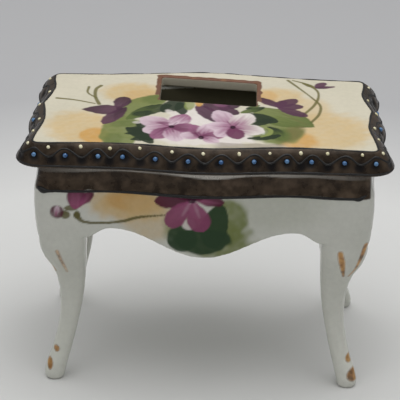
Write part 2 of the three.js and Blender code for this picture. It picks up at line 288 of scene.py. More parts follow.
def make_lid(grid):
    """One closed mesh: fine panel, rim, underside and the opening's walls."""
    count = grid.shape[1]
    parts, faces, start = [], [], 0
    # rim
    parts.append(grid.reshape(-1, 3))
    for level in range(len(grid) - 1):
        faces += [f[::-1] for f in strip(level * count, (level + 1) * count, count)]
    start += parts[-1].shape[0]
    # the opening's rounded lips and wall
    lip_mm = 0.7
    steps = 6
    profile = []
    for i in range(steps + 1):
        angle = math.pi / 2 * i / steps
        profile.append((lip_mm * (1 - math.sin(angle)), lip_mm * (1 - math.cos(angle))))
    for i in range(steps + 1):
        angle = math.pi / 2 * i / steps
        profile.append((lip_mm * (1 - math.cos(angle)), LID_THICKNESS / MM - lip_mm * (1 - math.sin(angle))))
    loops = [opening_loop(grow) for grow, _ in profile]
    hole_count = len(loops[0])
    wall = np.concatenate([
        np.column_stack([loop, np.full(hole_count, PANEL_TOP - drop * MM)])
        for loop, (_, drop) in zip(loops, profile)
    ])
    parts.append(wall)
    for level in range(len(profile) - 1):
        faces += strip(start + level * hole_count, start + (level + 1) * hole_count, hole_count)
    start += len(wall)
    # the panel and the underside
    for loop, hole, spacing, z, turned in (
        (grid[0, :, :2], loops[0], 0.3 * MM, PANEL_TOP, False),
        (grid[-1, :, :2], loops[-1], 0, PANEL_TOP - LID_THICKNESS, True),
    ):
        coords, triangles = filled(loop, hole, spacing)
        parts.append(np.column_stack([coords, np.full(len(coords), z)]))
        triangles = triangles[:, ::-1] if turned else triangles
        faces += [tuple(t) for t in triangles + start]
        start += len(coords)
    piece = new_object("glazed_lid", np.concatenate(parts), faces)
    tidy = bmesh.new()
    tidy.from_mesh(piece.data)
    bmesh.ops.remove_doubles(tidy, verts=tidy.verts, dist=2e-6)
    bmesh.ops.recalc_face_normals(tidy, faces=tidy.faces)
    tidy.to_mesh(piece.data)
    tidy.free()
    piece.data.shade_smooth()
    return piece


# ---- the box's mesh ----
def make_box():
    """The body and its four legs, fused and rounded as they are under one glaze."""
    joined = bmesh.new()
    for node in ("box_body", "leg_front_left", "leg_front_right", "leg_back_left", "leg_back_right"):
        joined.from_mesh(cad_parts[node].data)
    bmesh.ops.remove_doubles(joined, verts=joined.verts, dist=1e-6)
    for vert in joined.verts:
        if abs(vert.co.z - LEG_TOP) < 1e-5:
            vert.co.z += 2 * MM  # the knees reach up into the corner blocks
    mesh = bpy.data.meshes.new("glazed_box")
    joined.to_mesh(mesh)
    joined.free()
    piece = bpy.data.objects.new("glazed_box", mesh)
    SCENE.collection.objects.link(piece)
    remesh = piece.modifiers.new("fuse", "REMESH")
    remesh.mode = "VOXEL"
    remesh.voxel_size = 0.42 * MM
    smooth = piece.modifiers.new("glaze", "SMOOTH")
    smooth.factor = 0.5
    smooth.iterations = 6
    settle(piece)
    across, _, up = points_of(piece).T / MM
    near = (np.abs(up - LEG_TOP / MM) < KNEE_REACH) & (np.abs(across) > KNEE_INNER)
    piece.vertex_groups.new(name="knees").add(np.flatnonzero(near).tolist(), 1, "REPLACE")
    knees = piece.modifiers.new("knees", "SMOOTH")
    knees.factor = 0.5
    knees.iterations = 30
    knees.vertex_group = "knees"
    settle(piece)
    piece.data.name = "glazed_box"
    piece.data.shade_smooth()
    return piece


def settle(piece):
    """Makes what a piece's modifiers do its own mesh."""
    bpy.context.view_layer.update()
    mesh = bpy.data.meshes.new_from_object(piece.evaluated_get(bpy.context.evaluated_depsgraph_get()))
    piece.modifiers.clear()
    piece.data = mesh


# ---- painting: colours laid over one another at the points of a mesh ----
def eased(share):
    share = np.clip(share, 0, 1)
    return share * share * (3 - 2 * share)


def mottle(u, v, size, seed):
    """A smooth random field, mostly within -1 to 1, whose patches are about one size across."""
    dice = np.random.default_rng(seed)
    total = np.zeros(len(u))
    for _ in range(10):
        turn, phase = dice.uniform(0, 2 * math.pi, 2)
        rate = dice.uniform(0.6, 1.8) * math.pi / size
        total += np.sin(rate * (u * math.cos(turn) + v * math.sin(turn)) + phase)
    return total / 4


def lay(ware, colour, cover):
    ware["rgb"] += (colour - ware["rgb"]) * cover[:, None]


def new_ware(u, v, colour):
    """Points at (u, v) in millimetres, with the colour they start from."""
    return {"u": u, "v": v, "rgb": np.tile(colour, (len(u), 1))}


def wash(ware, centre, reach, colour, cover=0.8, turn=0, soft=0.6, seed=1):
    """A soft blot: a turned ellipse with a wavering, feathered edge."""
    u, v = ware["u"] - centre[0], ware["v"] - centre[1]
    c, s = math.cos(math.radians(turn)), math.sin(math.radians(turn))
    away = np.hypot((u * c + v * s) / reach[0], (v * c - u * s) / reach[1])
    away += 0.07 * mottle(ware["u"], ware["v"], 3, seed)
    thinnest = min(0.14, 1.2 * (1 - cover) + 0.03)
    depth = 1 - thinnest * eased(0.5 + 0.5 * mottle(ware["u"], ware["v"], 2.2, seed + 7))
    lay(ware, colour, cover * depth * (1 - eased((away - 1 + soft / 2) / soft)))


def petal(ware, base, tip, half_width, inner, outer, bend=0, blunt=1.5, full=0.55, cover=0.96, soft=0.7,
          seed=1):
    """A brush stroke from base to tip, widest near its tip, shaded from inner to outer with fine streaks."""
    du, dv = tip[0] - base[0], tip[1] - base[1]
    length = math.hypot(du, dv)
    u, v = ware["u"] - base[0], ware["v"] - base[1]
    along = (u * du + v * dv) / length ** 2
    across = (v * du - u * dv) / length
    share = np.clip(along, 0, 1)
    across = across - bend * np.sin(math.pi * share)
    width = half_width * np.sin(math.pi * share ** blunt) ** full
    width += 0.14 * mottle(ware["u"], ware["v"], 1.6, seed) * (width > 0.2)
    inside_it = (along > 0) & (along < 1)
    edge = np.clip(np.abs(across) / np.maximum(width, 0.01), 0, 1)
    streak = mottle(across * 3, along * length * 0.4, 2, seed + 3)
    shade = eased(along * 0.95 + 0.25 * edge ** 3 + 0.12 * streak)
    colour = inner + (outer - inner) * shade[:, None]
    amount = cover * inside_it * eased(0.5 + (width - np.abs(across)) / soft)
    ware["rgb"] += (colour - ware["rgb"]) * amount[:, None]


def curve_through(points, count=60):
    """Evenly numbered points on a smooth open curve through a few given ones."""
    points = np.array(points, float)
    padded = np.concatenate([[2 * points[0] - points[1]], points, [2 * points[-1] - points[-2]]])
    places = np.linspace(0, len(points) - 1, count)
    first = np.minimum(places.astype(int), len(points) - 2)
    t = (places - first)[:, None]
    return catmull(padded[first], padded[first + 1], padded[first + 2], padded[first + 3], t)


def away_from_curve(ware, curve):
    """Distance to a curve, and the share of the way along it, for every point."""
    u, v = ware["u"][:, None] - curve[:, 0], ware["v"][:, None] - curve[:, 1]
    gap = np.hypot(u, v)
    nearest = gap.argmin(1)
    return gap[np.arange(len(gap)), nearest], nearest / (len(curve) - 1)


def stroke(ware, points, half_widths, colour, cover=0.92, soft=0.35):
    """A brushed line along a curve, whose half width runs evenly through the given ones."""
    gap, share = away_from_curve(ware, curve_through(points))
    width = np.interp(share, np.linspace(0, 1, len(half_widths)), half_widths)
    lay(ware, colour, cover * eased(0.5 + (width - gap) / soft))


def opening_gap(u, v):
    """How far outside the opening a point lies, and its place from the opening's middle."""
    v = v - OPENING["y"] - OPENING["skew"] * u
    gap_u, gap_v = np.abs(u) - OPENING["half_x"], np.abs(v) - OPENING["half_y"]
    return np.where((gap_u > 0) & (gap_v > 0), np.hypot(gap_u, gap_v), np.maximum(gap_u, gap_v)), v


def paint_washes(ware):
    wash(ware, (-38, -17), (11, 13), PEACH, 0.85, turn=20, seed=2)
    wash(ware, (-34, -23), (4.5, 6), ORANGE, 0.85, soft=0.3, seed=3)
    wash(ware, (-24, 12), (10, 8), PEACH, 0.9, seed=4)
    wash(ware, (-21, 9), (6, 6), ORANGE, 0.35, seed=5)
    wash(ware, (22, 12), (8, 7), PEACH, 0.85, seed=6)
    wash(ware, (19, 12), (3, 4.5), ORANGE, 0.5, seed=7)
    wash(ware, (32, 2), (7, 9), PEACH, 0.6, seed=8)
    wash(ware, (37, -15), (14, 14), PEACH, 0.85, seed=9)
    wash(ware, (28, -23), (6, 7), ORANGE, 0.8, turn=30, seed=10)
    wash(ware, (0, -17), (21, 11.5), FLOWER_WHITE, 0.95, soft=0.25, seed=11)
    wash(ware, (-2, -5), (9, 6), FLOWER_WHITE, 0.9, soft=0.3, seed=12)


def paint_leaves(ware):
    wash(ware, (-26, -20), (6.3, 12), GREEN_PALE, 0.97, turn=-6, soft=0.15, seed=14)
    wash(ware, (-25, -13), (5, 2.6), GREEN, 0.6, turn=20, seed=15)
    wash(ware, (-28, -25), (3, 4), GREEN, 0.5, seed=36)
    petal(ware, (-28, -11), (-13, 11), 5.2, GREEN_PALE, GREEN_PALE, bend=1.5, blunt=1, seed=16)
    wash(ware, (-17, 7), (4, 3.4), GREEN, 0.6, turn=40, seed=17)
    petal(ware, (-25, -10), (-11.5, 3), 3.2, GREEN, GREEN_DARK, bend=1, blunt=1.2, seed=18)
    petal(ware, (-14, -3.5), (-8.5, 8.5), 3.4, GREEN_DARK, GREEN_DARK, bend=-0.5, blunt=1, seed=19)
    petal(ware, (-9, 5), (-7.6, -5), 2.1, GREEN_DARK, GREEN_DARK, blunt=1, seed=20)
    wash(ware, (-20, -4.6), (3.6, 2), GREEN_DARK, 0.9, turn=25, soft=0.4, seed=43)
    petal(ware, (-16, -28), (-24.6, -16), 2.6, GREEN_DARK, GREEN_DARK, bend=-0.6, blunt=1, seed=21)
    petal(ware, (-17, -26), (-20.5, -10.5), 3.1, GREEN_DARK, GREEN_DARK, bend=-0.6, blunt=1, seed=35)
    for base, tip in (((-19, -17), (-24.8, -17)), ((-19, -20), (-25, -21)), ((-18, -24), (-23, -25.5))):
        petal(ware, base, tip, 1.9, GREEN_DARK, GREEN_DARK, blunt=0.7, full=1, seed=22)
    wash(ware, (-21.5, -12), (1.4, 1), FLOWER_WHITE, 0.6, seed=23)
    wash(ware, (21, -15), (9, 11), GREEN_PALE, 0.95, turn=10, soft=0.25, seed=24)
    petal(ware, (13, 3), (33.5, -12), 6.4, GREEN_PALE, GREEN, bend=-0.6, blunt=1.1, full=0.9, seed=25)
    wash(ware, (26, -18), (3.4, 7), OLIVE, 0.75, turn=-25, seed=26)
    stroke(ware, [(22, 0), (27, -6), (31, -10)], [0.2, 0.35, 0.3], OLIVE, 0.5, soft=1)
    wash(ware, (22.5, -19), (3.6, 5), GREEN, 0.9, seed=27)
    petal(ware, (10.5, -2.4), (18, 3), 1.7, GREEN, GREEN_DARK, blunt=1, seed=28)
    petal(ware, (12, 1), (16.5, 4.5), 1, GREEN_DARK, GREEN, blunt=1, seed=44)
    petal(ware, (12.5, -3), (22, -9), 3.3, GREEN_DARK, GREEN_DARK, bend=-0.4, blunt=1, seed=29)
    petal(ware, (14, -12), (20.5, -6.5), 2, GREEN_DARK, GREEN_DARK, blunt=1, seed=30)
    petal(ware, (19, -12.5), (23, -23), 2.4, GREEN_DARK, GREEN, bend=1, blunt=1, seed=31)
    petal(ware, (23, -19), (12.6, -22.2), 1.7, GREEN_DARK, GREEN_DARK, bend=0.8, blunt=0.8, seed=32)
    curl = [(18.2, -13), (19.8, -15.5), (19.3, -18.5), (17, -20.6)]
    stroke(ware, curl, [0.3, 0.8, 0.8, 0.4], GREEN_PALE * 1.35)
    petal(ware, (15.6, -13), (17.8, -18.8), 1, paint(150, 164, 150), paint(190, 196, 176), blunt=1, seed=34)


def paint_dark_violets(ware):
    petal(ware, (-26.5, -1.5), (-39.5, -2.8), 3.7, VIOLET, VIOLET_DEEP, bend=0.4, blunt=0.8, full=0.9,
          seed=40)
    petal(ware, (-28, -2), (-26.4, 8.4), 2.9, VIOLET, VIOLET_DEEP, blunt=1.5, full=0.55, seed=41)
    petal(ware, (-25.5, 0), (-32, -14), 2.6, VIOLET_DEEP, VIOLET, blunt=1.2, seed=42)
    wash(ware, (-27.6, -1.2), (1.2, 1.6), VIOLET_DEEP, 0.7, seed=45)
    petal(ware, (4.5, -11), (-3.2, 3.4), 3.1, VIOLET_DEEP, VIOLET, blunt=1.1, seed=46)
    petal(ware, (4, -3), (1.8, 9.6), 4.4, VIOLET, VIOLET_DEEP, blunt=1.2, full=0.5, seed=47)
    petal(ware, (3.2, 1), (10, 4.5), 2.4, VIOLET, VIOLET_DEEP, blunt=1.2, full=0.5, seed=48)
    petal(ware, (4, 3), (9.6, -4), 2.3, VIOLET, VIOLET_DEEP, blunt=1.2, seed=49)
    wash(ware, (4, 4), (2.2, 1.8), MAUVE, 0.5, seed=50)
    wash(ware, (-2.8, 5.2), (1.3, 3), ORANGE, 0.95, soft=0.4, seed=51)
    wash(ware, (-5.8, 3.5), (1.7, 4.5), GREEN_PALE * 1.3, 0.85, soft=0.4, seed=52)
    petal(ware, (15.4, 11), (23.5, 2.6), 2, VIOLET_DEEP, VIOLET, blunt=0.9, full=0.8, seed=53)
    for tip, width in (((24, 8.8), 1.9), ((28, 10.4), 2.5), ((30.2, 4.5), 2.4), ((31.4, -3.8), 2.3)):
        petal(ware, (22, 2.8), tip, width, VIOLET, VIOLET * 0.85, blunt=1.2, seed=54)
    petal(ware, (34, 20), (40.6, 21.6), 1.1, VIOLET_DEEP, VIOLET, blunt=0.8, seed=55)
    petal(ware, (34.2, 20.6), (37.6, 24.8), 1.7, VIOLET, VIOLET, blunt=1, seed=56)


def violet(ware, eye, petals):
    """Open petals that all start at one dark eye; each has a tip, a half width and its two colours."""
    for tip, half_width, inner, outer in petals:
        seed = int(60 + abs(tip[0] * 3))
        petal(ware, eye, tip, half_width, inner, outer, blunt=1.1, full=0.6, soft=0.9, seed=seed)
    for tip, half_width, _, _ in petals:
        near = (eye[0] + 0.35 * (tip[0] - eye[0]), eye[1] + 0.35 * (tip[1] - eye[1]))
        stroke(ware, [eye, near], [0.35, 0.15], MAUVE_DEEP, 0.7, soft=0.8)


def paint_pale_violets(ware):
    """Two open violets and a small half-hidden one."""
    violet(ware, (-10.8, -14.8), (
        ((-20.5, -8), 4.3, MAUVE, MAUVE_PALE), ((-6.4, -4.6), 3.4, MAUVE_PALE, MAUVE),
        ((-19.4, -19), 4, MAUVE, MAUVE_PALE), ((-16, -24.4), 3.4, MAUVE_DEEP, MAUVE),
        ((-8.6, -26), 3.5, MAUVE, MAUVE_PALE), ((-2.8, -15.6), 3.6, MAUVE_DEEP, MAUVE),
    ))
    violet(ware, (-1.2, -21.8), (
        ((-8, -20.6), 2.9, MAUVE, MAUVE_PALE), ((-4.2, -12.6), 2.6, MAUVE_DEEP, MAUVE),
        ((1, -11.6), 2.8, MAUVE, MAUVE_PALE), ((6, -19.6), 3, MAUVE_DEEP, MAUVE),
        ((4, -26), 2.3, MAUVE, MAUVE_PALE),
    ))
    violet(ware, (8.2, -14), (
        ((3, -0.6), 3.7, MAUVE, MAUVE_PALE), ((13.4, -2.6), 3.9, MAUVE, FLOWER_WHITE),
        ((0, -12.6), 3.5, MAUVE, MAUVE_PALE), ((18, -17), 4.2, MAUVE, FLOWER_WHITE),
        ((3.4, -21.5), 3.1, MAUVE, MAUVE_PALE), ((9.8, -23), 2.9, MAUVE_DEEP, MAUVE_DEEP),
    ))
    for centre, reach in (((-7, -16.6), (1.8, 1.2)), ((-13.4, -11.8), (2.2, 1)), ((-2.6, -20), (1.2, 2))):
        wash(ware, centre, reach, MAUVE_DEEP, 0.55, seed=80)
    eyes = (((-10.8, -14.6), (1, 1.2)), ((-1.4, -22.4), (0.9, 1.4)), ((8.2, -13.9), (0.9, 1.3)))
    for centre, reach in eyes:
        wash(ware, centre, reach, EYE, 0.98, soft=0.5, seed=81)
    wash(ware, (-11.4, -3.4), (1.4, 2.6), FLOWER_WHITE, 0.75, turn=30, soft=0.5, seed=82)


def paint_stems(ware):
    for points, widths in (
        ([(-47.8, 5.8), (-42, 4.7), (-35.6, 2.2)], [0.45, 0.3, 0.2]),
        ([(-38.4, 16), (-38.4, 11), (-35.4, 6.8)], [0.3, 0.2, 0.2]),
        ([(-34.6, 17.2), (-36, 14), (-35.8, 8), (-34.2, 1.8)], [0.5, 0.45, 0.4, 0.5]),
        ([(25.4, 26), (29, 19.4), (33, 11.6), (35.5, 5.2), (34.9, -2), (32.4, -8.4)], [0.4, 0.25, 0.35, 0.4]),
        ([(27, 26), (31, 23.4), (34.6, 18), (35, 12), (33.4, 5), (30, -2.6)], [0.2, 0.4, 0.25, 0.4, 0.4]),
        ([(30.6, 23.6), (34, 20.2)], [0.5, 0.9, 0.4]),
    ):
        stroke(ware, points, [width + STEM_SPREAD for width in widths], OLIVE)


def paint_panel(x, y):
    """The lid's panel, seen from above: colours, and how much worn gold lies over the opening's frame."""
    ware = new_ware(x, y, CREAM_GLAZE)
    paint_washes(ware)
    paint_stems(ware)
    paint_leaves(ware)
    paint_dark_violets(ware)
    paint_pale_violets(ware)
    taupe = eased((x - 1) / 4) * eased((26 - x) / 4)
    lay(ware, TAUPE, 0.5 * taupe * eased(0.5 + (-26 - y + 0.3 * mottle(x, y, 4, 90)) / 0.5))
    gap, beside = opening_gap(x, y)
    width = np.where(beside < FRAME_NARROWS, 0.45, 1.6) + 0.25 * mottle(x, y, 2.5, 91)
    frame_line = eased(0.5 + (width - gap) / 0.4) * (beside > -OPENING["half_y"] - 1.2)
    lay(ware, FRAME_BROWN, frame_line)
    return ware["rgb"], frame_line * (0.05 + 0.15 * eased(mottle(x, y, 2, 92)))


def paint_body_front(x, z):
    ware = new_ware(x, z, WHITE_GLAZE)
    wash(ware, (-23, 62.4), (12, 6), PEACH, 0.95, seed=101)
    wash(ware, (-22, 63), (8, 3.6), ORANGE, 0.7, seed=102)
    wash(ware, (-17, 58), (8, 8), PEACH, 0.6, turn=-30, seed=103)
    wash(ware, (20, 62), (16, 7), GREEN_PALE, 0.16, soft=1, seed=104)
    wash(ware, (2, 53), (13.4, 7), GREEN_PALE, 0.9, turn=-12, soft=0.4, seed=105)
    wash(ware, (7, 57.6), (6.4, 8.4), GREEN_PALE, 0.9, turn=-20, soft=0.3, seed=105)
    wash(ware, (0, 51.6), (8.6, 4.6), GREEN_LEAF, 0.98, soft=0.15, seed=108)
    wash(ware, (-6.5, 52.2), (4.6, 4.6), GREEN_LEAF, 0.98, soft=0.15, seed=109)
    petal(ware, (2.6, 49), (5.4, 64.4), 4.2, GREEN_LEAF, GREEN_LEAF, bend=0.6, blunt=0.9, soft=0.5, seed=110)
    wash(ware, (-4.4, 57.4), (2.2, 1.9), FLOWER_WHITE, 0.9, soft=0.3, seed=111)
    stroke(ware, [(-39, 58.4), (-36.8, 56), (-31, 55.4), (-25, 56.2), (-20, 58), (-12, 59.8)],
           [0.9, 0.5, 0.42, 0.5, 0.5, 0.3], OLIVE * 0.8)
    for centre, reach in (((-42.4, 58.6), (1.5, 1.4)), ((-40.6, 60.8), (2.2, 1)), ((-38.8, 58.4), (1, 1.5))):
        wash(ware, centre, reach, OLIVE * 0.8, 0.95, soft=0.4, seed=112)
    petal(ware, (-39.4, 60.4), (-38.6, 68.6), 2.9, MAGENTA, MAGENTA_DEEP, full=0.5, blunt=1.1, seed=113)
    petal(ware, (-38, 61.6), (-34, 66.2), 1.5, MAGENTA, MAGENTA_DEEP, blunt=1.3, full=0.5, seed=114)
    wash(ware, (-45, 59.5), (2.1, 2.2), MAGENTA_DEEP, 0.9, soft=0.3, seed=115)
    petal(ware, (-45.3, 57.8), (-44.7, 61.6), 0.8, MAGENTA, MAUVE_PALE, seed=116)
    petal(ware, (-3.6, 66.2), (-15, 64), 2.6, MAGENTA_DEEP, MAGENTA_DEEP, blunt=1.3, full=0.55, seed=117)
    petal(ware, (-3, 66), (6.4, 65), 1.7, MAGENTA, MAGENTA_DEEP, blunt=1.3, full=0.55, seed=118)
    petal(ware, (-9, 66.6), (1, 66.8), 1.3, MAGENTA_DEEP, MAGENTA_DEEP, blunt=1, full=0.6, seed=119)
    petal(ware, (-4.2, 65.4), (-11, 56), 3, MAGENTA, MAGENTA * 0.8, full=0.5, seed=120)
    petal(ware, (-3.4, 65.4), (-0.2, 55), 3.6, MAGENTA, MAGENTA * 0.8, full=0.5, seed=121)
    stroke(ware, [(-4, 65), (-6.4, 60.4)], [0.2, 0.5, 0.2], MAUVE_PALE, 0.25, soft=1)
    stroke(ware, [(-3, 65), (-1.2, 60)], [0.2, 0.5, 0.2], MAUVE_PALE, 0.25, soft=1)
    wash(ware, (-3.6, 65.6), (1.3, 0.9), EYE, 0.9, soft=0.5, seed=122)
    return ware["rgb"]


def gold_marks(x, z):
    """Worn gold on the knees and feet of the legs, 0 to 1; x is taken from the nearer leg's side."""
    ware = {"u": x, "v": z, "rgb": np.zeros((len(x), 3))}
    one = np.ones(3)
    right, left = [(42.4, 47.4), (43.2, 43), (43.8, 38.2)], [(-45.1, 45.4), (-43.7, 41), (-42.3, 36.8)]
    stroke(ware, right, [0.8, 1, 0.7, 0.3], one, soft=0.6)
    stroke(ware, [(50.2, 50.4), (49, 46.4), (47.2, 41), (45.4, 38)], [0.7, 0.6, 0.3, 0.2], one, 0.9, soft=0.5)
    stroke(ware, left, [0.5, 0.5, 0.4, 0.2], one, 0.7, soft=0.8)
    stroke(ware, [(-52.6, 47.8), (-50, 42.8), (-46, 36.6)], [0.35, 0.45, 0.3], one, 0.8, soft=0.5)
    for centre, reach in (((48.2, 4.4), (1.9, 2)), ((46.9, 9.3), (1.2, 1.3)), ((-47.7, 5.2), (0.9, 1.7)),
                          ((-45.7, 9.8), (0.9, 0.9))):
        wash(ware, centre, reach, one, 0.95, soft=0.35, seed=130)
    return ware["rgb"][:, 0]


def store(piece, name, values):
    """Keep four values per point on a mesh, for its material to read."""
    layer = piece.data.color_attributes.new(name, "FLOAT_COLOR", "POINT")
    layer.data.foreach_set("color", np.ascontiguousarray(values, np.float32).reshape(-1))


def paint_lid(piece, grid, hollows):
    """Panel painting by plan position; brown lustre from the panel's edge outwards and under."""
    points = points_of(piece) / MM
    x, y, z = points.T
    top = z > PANEL_TOP / MM - 1
    rgb, frame_line = paint_panel(x, y)
    edge = KDTree(grid.shape[1])
    for i, p in enumerate(grid[0]):
        edge.insert((p[0], p[1], 0), i)
    edge.balance()
    outline = grid[0, :, :2]
    on_panel = inside(outline, points[:, :2] * MM)
    gap = np.array([edge.find((p[0] * MM, p[1] * MM, 0))[2] for p in points]) / MM
    gap = np.where(on_panel, gap, -gap)
    waver = 0.12 * mottle(x, y, 3, 140)
    lustre = 1 - eased(0.5 + (gap - 0.1 + waver) / 0.3)
    under = (z < PANEL_TOP / MM - LID_THICKNESS / MM + 0.2) & on_panel
    lustre[under] = 0
    rgb[under] = CREAM_GLAZE
    wall = (opening_gap(x, y)[0] < 0.5) & (z < PANEL_TOP / MM - 0.5)
    frame_line = np.where(top & on_panel & ~wall, frame_line, 0)
    # painted shade: the opening's walls are painted at 0.8 of the cream glaze
    rgb[wall] = CREAM_GLAZE * 0.8
    dark = np.zeros(len(points))
    for centre in hollows:
        away = np.linalg.norm(points - centre / MM, axis=1)
        dark = np.maximum(dark, 0.95 * np.exp(-(away / HOLLOW_DARK) ** 4))
    store(piece, "paint", np.column_stack([rgb, np.ones(len(rgb))]))
    store(piece, "cover", np.column_stack([lustre, frame_line, dark, np.ones(len(rgb))]))


def paint_box(piece):
    """Flowers on the front, brown lustre in the front and back bands with a painted reflection along their
    tops, gold on the legs, and painted shade over the inside.
    """
    points = points_of(piece) / MM
    normals = np.empty(len(points) * 3)
    piece.data.vertex_normals.foreach_get("vector", normals)
    normals = normals.reshape(-1, 3)
    x, y, z = points.T
    facing_front = eased((-normals[:, 1] - 0.05) / 0.3) * (y < 0)
    facing_back = eased((normals[:, 1] - 0.05) / 0.3) * (y > 0)
    outside = np.abs(y) > OUTER_FACE_MM
    front = paint_body_front(x, z)
    rgb = WHITE_GLAZE + (front - WHITE_GLAZE) * (facing_front * outside * (z > 40))[:, None]
    ends = eased((BAND_HALF_MM - np.abs(x - BAND_MIDDLE_MM)) / 0.5)
    waver = 0.12 * mottle(x, z, 5, 150)
    band = eased(0.5 + (z - RIDGE_MM + waver) / 0.35) * ends * outside * np.maximum(facing_front, facing_back)
    # painted reflection: a pale streak along the band's top, lightest in the middle, also standing for paler
    # glaze there
    sheen_streak = eased((z - BAND_SHEEN_FROM_MM + 0.5 * mottle(x, z, 14, 151)) / 0.5) * eased(1.05 - np.abs(x) / 60)
    front_gold = gold_marks(x, z) * facing_front
    back_gold = gold_marks(-x, z) * facing_back
    gold = (front_gold + back_gold) * (z < 52) * (np.abs(x) > 36)
    within = inside_box(points, normals)
    # painted shade: the walls and floor within the box take the dark shade colour
    rgb = rgb + (INSIDE_SHADE - rgb) * within[:, None]
    store(piece, "paint", np.column_stack([rgb, np.ones(len(rgb))]))
    store(piece, "cover", np.column_stack([band * (1 - within), gold, sheen_streak * band, np.ones(len(rgb))]))


def inside_box(points, normals):
    """Which points lie on the walls and floor within the box, below its mouth."""
    x, y, z = points.T
    inward = (normals[:, 0] * x + normals[:, 1] * y < 0) | (normals[:, 2] > 0.7)
    return (inward & (z > 56.5) & (z < MOUTH_MM - 0.8) & (np.abs(x) < 50) & (np.abs(y) < 31)).astype(float)


# ---- enamel laid on the surface ----
def rim_place(grid, place, share):
    """A point on the rim and the outward normal there; place runs round the rim, share across it."""
    count = grid.shape[1]
    level = np.interp(share, RIM_SHARES, np.arange(len(RIM_SHARES))) * RIM_ACROSS

    def at(along, across):
        i, j = int(math.floor(along)) % count, min(int(across), grid.shape[0] - 2)
        f, g = along - math.floor(along), across - j
        near = grid[j, i] * (1 - f) + grid[j, (i + 1) % count] * f
        far = grid[j + 1, i] * (1 - f) + grid[j + 1, (i + 1) % count] * f
        return near * (1 - g) + far * g

    point = at(place, level)
    along = at(place + 1.5, level) - at(place - 1.5, level)
    across = at(place, level + 0.5) - at(place, max(level - 0.5, 0))
    normal = np.cross(across, along)
    normal /= np.linalg.norm(normal)
    return point, normal


def jewel_places(grid):
    """Each CAD jewel's place round the rim and its share across it."""
    share_of = np.interp(np.arange(36) / RIM_ACROSS, np.arange(len(RIM_SHARES)), RIM_SHARES)
    found = []
    for node in JEWEL_NODES:
        low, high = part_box(node)
        middle = (np.array(low) + np.array(high)) / 2
        away = np.linalg.norm(grid[:36] - middle, axis=2)
        level, place = np.unravel_index(away.argmin(), away.shape)
        found.append((int(place), float(share_of[level])))
    return sorted(found)


def crest_places(grid, jewels):
    """Where the scroll line crests: over every jewel, and evenly between jewels that stand far apart."""
    steps = np.linalg.norm(np.roll(grid[15], -1, 0) - grid[15], axis=1) / MM
    reach = np.concatenate([[0], np.cumsum(steps)])
    whole = reach[-1]
    marks = np.array([reach[place] for place, _ in jewels])
    crests = []
    for here, following in zip(marks, np.append(marks[1:], marks[0] + whole)):
        gaps = max(1, round((following - here) / CREST_SPACING))
        crests += [here + (following - here) * i / gaps for i in range(gaps)]
    crests = np.array(crests) % whole
    return np.sort(np.interp(crests, reach, np.arange(len(reach))))


def tube(points, radii, normals, closed, sides=8):
    """Points and faces of a flattened, rounded line that lies on a surface."""
    count = len(points)
    before, after = np.roll(points, 1, 0), np.roll(points, -1, 0)
    if not closed:
        before[0], after[-1] = points[0], points[-1]
    along = after - before
    along /= np.linalg.norm(along, axis=1)[:, None]
    beside = np.cross(along, normals)
    beside /= np.linalg.norm(beside, axis=1)[:, None]
    rings = []
    for i in range(sides):
        angle = 2 * math.pi * i / sides
        offset = beside * math.cos(angle) + normals * 0.55 * math.sin(angle)
        rings.append(points + offset * radii[:, None])
    vertices = np.stack(rings, 1).reshape(-1, 3)
    faces = []
    for i in range(count if closed else count - 1):
        a, b = i * sides, (i + 1) % count * sides
        faces += [(a + j, a + (j + 1) % sides, b + (j + 1) % sides, b + j) for j in range(sides)]
    if not closed:
        faces.append(tuple(range(sides))[::-1])
        faces.append(tuple((count - 1) * sides + j for j in range(sides)))
    return vertices, faces


def dome(centre, normal, radius, height, wobble, rings=6, sides=18):
    """A raised drop of enamel, sunk a little into the surface it sits on."""
    side = np.cross(normal, (0.3, 0.5, 0.81))
    side /= np.linalg.norm(side)
    other = np.cross(normal, side)
    vertices = [centre + normal * height]
    for ring in range(1, rings + 2):
        angle = math.pi / 2 * ring / rings
        reach, rise = radius * math.sin(min(angle, math.pi / 2)), height * math.cos(angle)
        for j in range(sides):
            turn = 2 * math.pi * j / sides
            out = reach * (1 + wobble * math.sin(2 * turn + wobble * 40))
            vertices.append(centre + out * (math.cos(turn) * side + math.sin(turn) * other) + rise * normal)
    faces = [(0, 1 + j, 1 + (j + 1) % sides) for j in range(sides)]
    for ring in range(rings):
        a, b = 1 + ring * sides, 1 + (ring + 1) * sides
        faces += [(a + j, b + j, b + (j + 1) % sides, a + (j + 1) % sides) for j in range(sides)]
    faces.append(tuple(1 + rings * sides + j for j in range(sides))[::-1])
    return np.array(vertices), faces


def gathered(name, parts):
    """One object from several (points, faces) parts."""
    points, faces, start = [], [], 0
    for part_points, part_faces in parts:
        points.append(part_points)
        faces += [tuple(i + start for i in face) for face in part_faces]
        start += len(part_points)
    return new_object(name, np.concatenate(points), faces)


def brushed(points, normals, radii, closed=True, least=0.1 * MM):
    """A line whose brush lifts where its radius falls below the least one."""
    if closed and radii.min() > least:
        return [tube(points, radii, normals, True)]
    drawn = radii > least
    start = int(np.argmin(drawn)) if closed else 0
    order = (np.arange(len(points)) + start) % len(points)
    runs, run = [], []
    for i in order:
        if drawn[i]:
            run.append(i)
        elif run:
            runs.append(run)
            run = []
    runs.append(run)
    return [tube(points[r], radii[r], normals[r], False) for r in runs if len(r) > 3]


